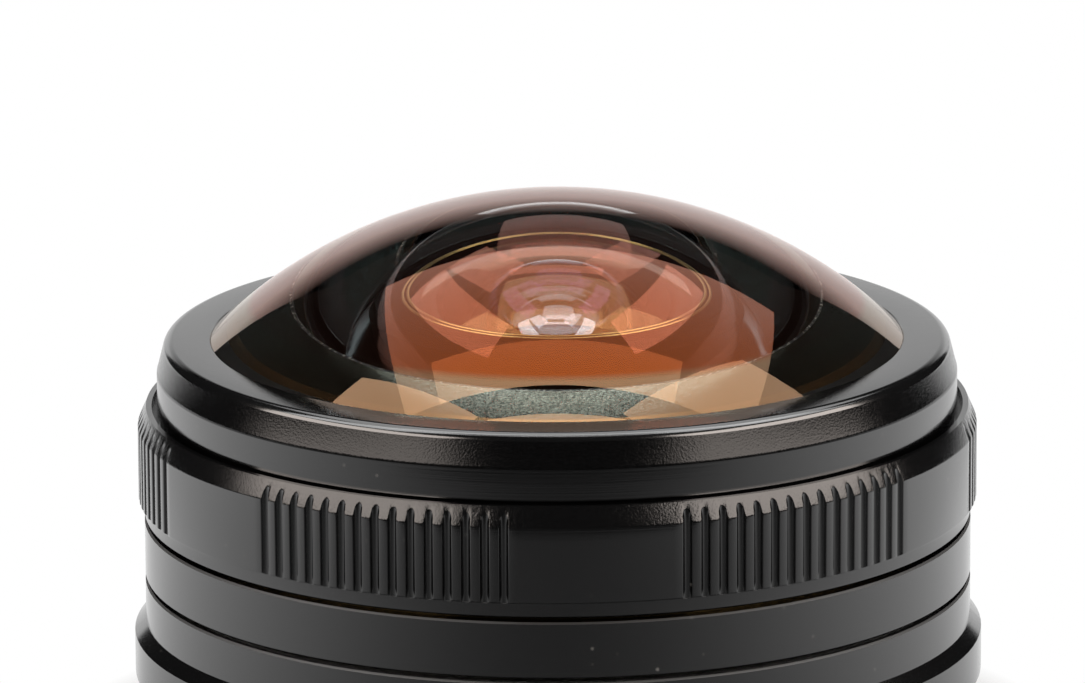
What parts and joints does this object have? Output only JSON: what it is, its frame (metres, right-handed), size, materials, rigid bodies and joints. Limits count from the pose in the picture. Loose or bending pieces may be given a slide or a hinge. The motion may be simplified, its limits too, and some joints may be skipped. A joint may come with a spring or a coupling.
{
  "type": "fisheye lens",
  "caption": "Compact circular fisheye camera lens with a bulging front element, a grooved focus ring, an aperture ring that works a bladed iris, and a bayonet mount.",
  "frame": {"origin": "centre of the mounting flange face, on the optical axis", "axes": "+Z along the optical axis to the front element, -Y to the pictured side, +Y to the alignment dot"},
  "size_m": [0.0452, 0.0452, 0.0302],
  "materials": {
    "black_barrel": "satin black anodised",
    "black_ring": "satin black anodised",
    "black_bezel": "bead-blasted black anodised",
    "black_inner": "matt black",
    "chrome_mount": "turned, satin chrome on brass",
    "steel_screws": "bright",
    "brass_helicoid": "turned",
    "blade_steel": "blackened",
    "red_dot": "glossy",
    "glide_film": "plain",
    "gasket_rubber": "plain",
    "front_glass": "polished, amber coating",
    "inner_glass": "polished, coated"
  },
  "bodies": {
    "rear_barrel": {"base_barrel": "black_barrel", "bayonet_plate": "chrome_mount", "bayonet_screws": "steel_screws", "mount_dot": "red_dot", "rear_baffle": "black_inner", "glide_washer": "glide_film", "aperture_ring_nut": "brass_helicoid", "focus_ring_nut": "brass_helicoid", "guide_key": "brass_helicoid"},
    "focus_ring": {"focus_ring": "black_ring", "helicoid_nut": "brass_helicoid", "focus_stop_pin": "steel_screws"},
    "aperture_ring": {"aperture_ring": "black_ring", "aperture_drive_pin": "steel_screws"},
    "optical_block": {"front_bezel": "black_bezel", "front_element": "front_glass", "front_gasket": "gasket_rubber", "front_barrel": "black_barrel", "helicoid_sleeve": "brass_helicoid", "front_cell": "black_barrel", "front_cell_screws": "steel_screws", "second_element": "inner_glass", "second_element_ring": "black_inner", "third_element": "inner_glass", "third_element_ring": "black_inner", "iris_housing": "black_barrel", "iris_cover": "black_barrel", "rear_cell": "black_barrel", "rear_cell_screws": "steel_screws", "fourth_element": "inner_glass", "fourth_element_spacer": "black_inner", "doublet_front_element": "inner_glass", "doublet_rear_element": "inner_glass", "rear_spacer": "black_inner", "rear_element": "inner_glass", "rear_element_ring": "black_inner"},
    "iris_rotor": {"iris_rotor": "brass_helicoid"},
    "iris_blade_1": {"iris_blade_1": "blade_steel"},
    "iris_blade_2": {"iris_blade_2": "blade_steel"},
    "iris_blade_3": {"iris_blade_3": "blade_steel"},
    "iris_blade_4": {"iris_blade_4": "blade_steel"},
    "iris_blade_5": {"iris_blade_5": "blade_steel"},
    "iris_blade_6": {"iris_blade_6": "blade_steel"},
    "iris_blade_7": {"iris_blade_7": "blade_steel"}
  },
  "joints": [
    {"name": "focus_turn", "type": "hinge", "parent": "rear_barrel", "child": "focus_ring", "pos_m": [0, 0, 0.0115], "axis": [0, 0, 1], "range_deg": [0, 90]},
    {"name": "aperture_turn", "type": "hinge", "parent": "rear_barrel", "child": "aperture_ring", "pos_m": [0, 0, 0.007], "axis": [0, 0, 1], "range_deg": [0, 40]},
    {"name": "optics_travel", "type": "slide", "parent": "rear_barrel", "child": "optical_block", "axis": [0, 0, 1], "range_m": [0, 0.00025]},
    {"name": "iris_turn", "type": "hinge", "parent": "optical_block", "child": "iris_rotor", "pos_m": [0, 0, 0.00657], "axis": [0, 0, 1], "range_deg": [0, 40]},
    {"name": "blade_1_swing", "type": "hinge", "parent": "optical_block", "child": "iris_blade_1", "pos_m": [0.0072, 0, 0.0075], "axis": [0, 0, 1], "range_deg": [0, 18.14]},
    {"name": "blade_2_swing", "type": "hinge", "parent": "optical_block", "child": "iris_blade_2", "pos_m": [0.00449, 0.00563, 0.0075], "axis": [0, 0, 1], "range_deg": [0, 18.14]},
    {"name": "blade_3_swing", "type": "hinge", "parent": "optical_block", "child": "iris_blade_3", "pos_m": [-0.0016, 0.00702, 0.0075], "axis": [0, 0, 1], "range_deg": [0, 18.14]},
    {"name": "blade_4_swing", "type": "hinge", "parent": "optical_block", "child": "iris_blade_4", "pos_m": [-0.00649, 0.00312, 0.0075], "axis": [0, 0, 1], "range_deg": [0, 18.14]},
    {"name": "blade_5_swing", "type": "hinge", "parent": "optical_block", "child": "iris_blade_5", "pos_m": [-0.00649, -0.00312, 0.0075], "axis": [0, 0, 1], "range_deg": [0, 18.14]},
    {"name": "blade_6_swing", "type": "hinge", "parent": "optical_block", "child": "iris_blade_6", "pos_m": [-0.0016, -0.00702, 0.0075], "axis": [0, 0, 1], "range_deg": [0, 18.14]},
    {"name": "blade_7_swing", "type": "hinge", "parent": "optical_block", "child": "iris_blade_7", "pos_m": [0.00449, -0.00563, 0.0075], "axis": [0, 0, 1], "range_deg": [0, 18.14]}
  ],
  "couplings": [
    {"joint": "optics_travel", "follows": "focus_turn", "m_per_rad": 0.00015915},
    {"joint": "iris_turn", "follows": "aperture_turn", "ratio": 1},
    {"joint": "blade_1_swing", "follows": "aperture_turn", "ratio": 0.45349},
    {"joint": "blade_2_swing", "follows": "aperture_turn", "ratio": 0.45349},
    {"joint": "blade_3_swing", "follows": "aperture_turn", "ratio": 0.45349},
    {"joint": "blade_4_swing", "follows": "aperture_turn", "ratio": 0.45349},
    {"joint": "blade_5_swing", "follows": "aperture_turn", "ratio": 0.45349},
    {"joint": "blade_6_swing", "follows": "aperture_turn", "ratio": 0.45349},
    {"joint": "blade_7_swing", "follows": "aperture_turn", "ratio": 0.45349}
  ]
}
